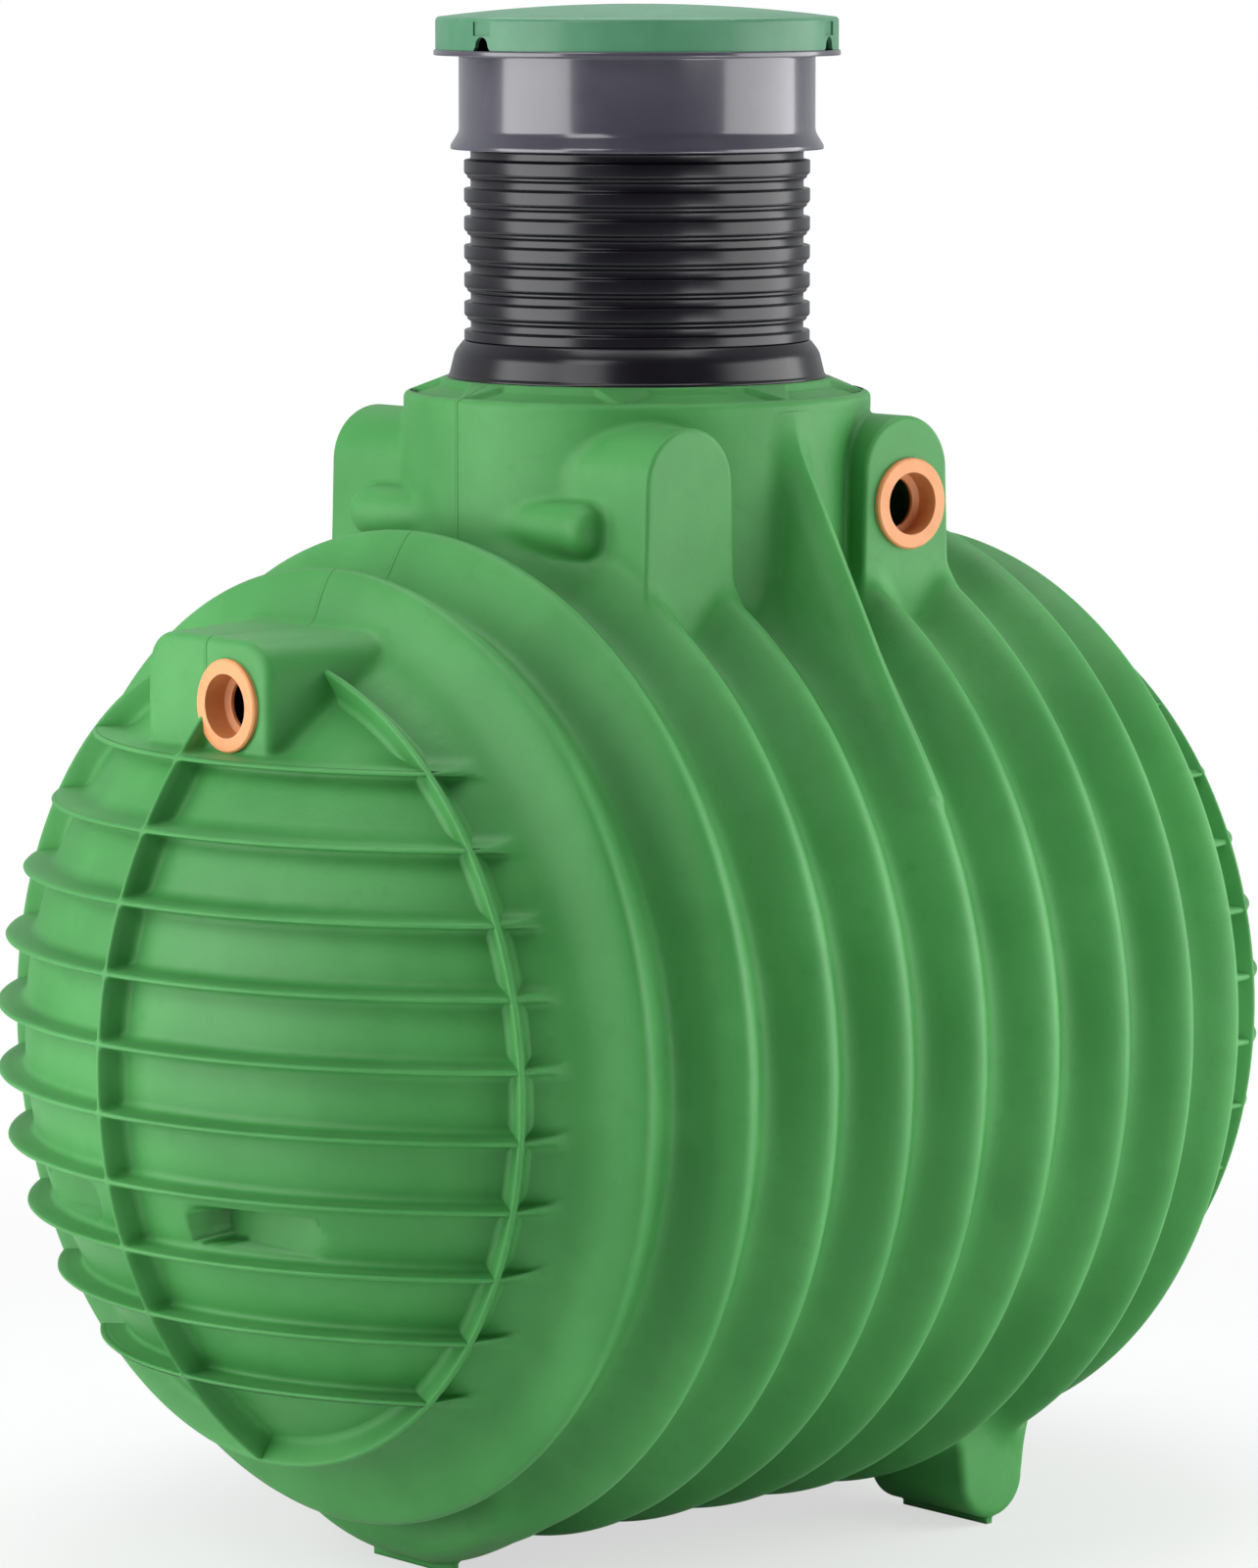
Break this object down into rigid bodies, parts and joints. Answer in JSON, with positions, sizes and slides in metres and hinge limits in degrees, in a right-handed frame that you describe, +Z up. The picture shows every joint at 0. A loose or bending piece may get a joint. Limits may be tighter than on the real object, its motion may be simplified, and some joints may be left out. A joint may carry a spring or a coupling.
{
  "type": "wastewater holding tank",
  "caption": "Ribbed horizontal underground wastewater holding tank with domed ends, neck, corrugated riser, telescopic sleeve and lift-off lid.",
  "frame": {"origin": "on the floor, under the middle of the tank's footprint, below the riser axis", "axes": "+Z up along the riser; X along the tank axis with the inlet end at -X; -Y is the side with the outlet seal"},
  "size_m": [2.402, 1.8, 2.7323],
  "materials": {
    "tank_green": "moulded, fine grain",
    "lid_green": "moulded, satin",
    "sleeve_grey": "smooth, glossy",
    "riser_black": "extruded, glossy",
    "seal_rubber": "smooth rubber"
  },
  "bodies": {
    "tank": {"box_inlet_front": "tank_green", "box_inlet_rear": "tank_green", "box_outlet_front": "tank_green", "box_outlet_rear": "tank_green", "fin_front": "tank_green", "fin_rear": "tank_green", "foot_inlet_end": "tank_green", "foot_outlet_front": "tank_green", "foot_outlet_rear": "tank_green", "inlet_box": "tank_green", "inlet_end": "tank_green", "inlet_end_ribs": "tank_green", "inlet_seal": "seal_rubber", "neck_front": "tank_green", "neck_inlet": "tank_green", "neck_inlet_front": "tank_green", "neck_inlet_rear": "tank_green", "neck_outlet": "tank_green", "neck_outlet_front": "tank_green", "neck_outlet_rear": "tank_green", "neck_rear": "tank_green", "neck_shoulder": "tank_green", "outlet_end": "tank_green", "outlet_end_ribs": "tank_green", "outlet_seal": "seal_rubber", "riser_base": "riser_black", "riser_pipe": "riser_black", "shell_bottom": "tank_green", "shell_crown_inlet": "tank_green", "shell_crown_outlet": "tank_green", "shell_front": "tank_green", "shell_lower_front": "tank_green", "shell_lower_rear": "tank_green", "shell_rear": "tank_green", "shell_upper_front": "tank_green", "shell_upper_rear": "tank_green"},
    "sleeve": {"sleeve": "sleeve_grey"},
    "lid": {"lid": "lid_green"}
  },
  "joints": [
    {"name": "sleeve_height", "type": "slide", "parent": "tank", "child": "sleeve", "axis": [0, 0, 1], "range_m": [0, 0.1]},
    {"name": "lid_lift", "type": "slide", "parent": "sleeve", "child": "lid", "axis": [0, 0, 1], "range_m": [0, 0.25]}
  ]
}
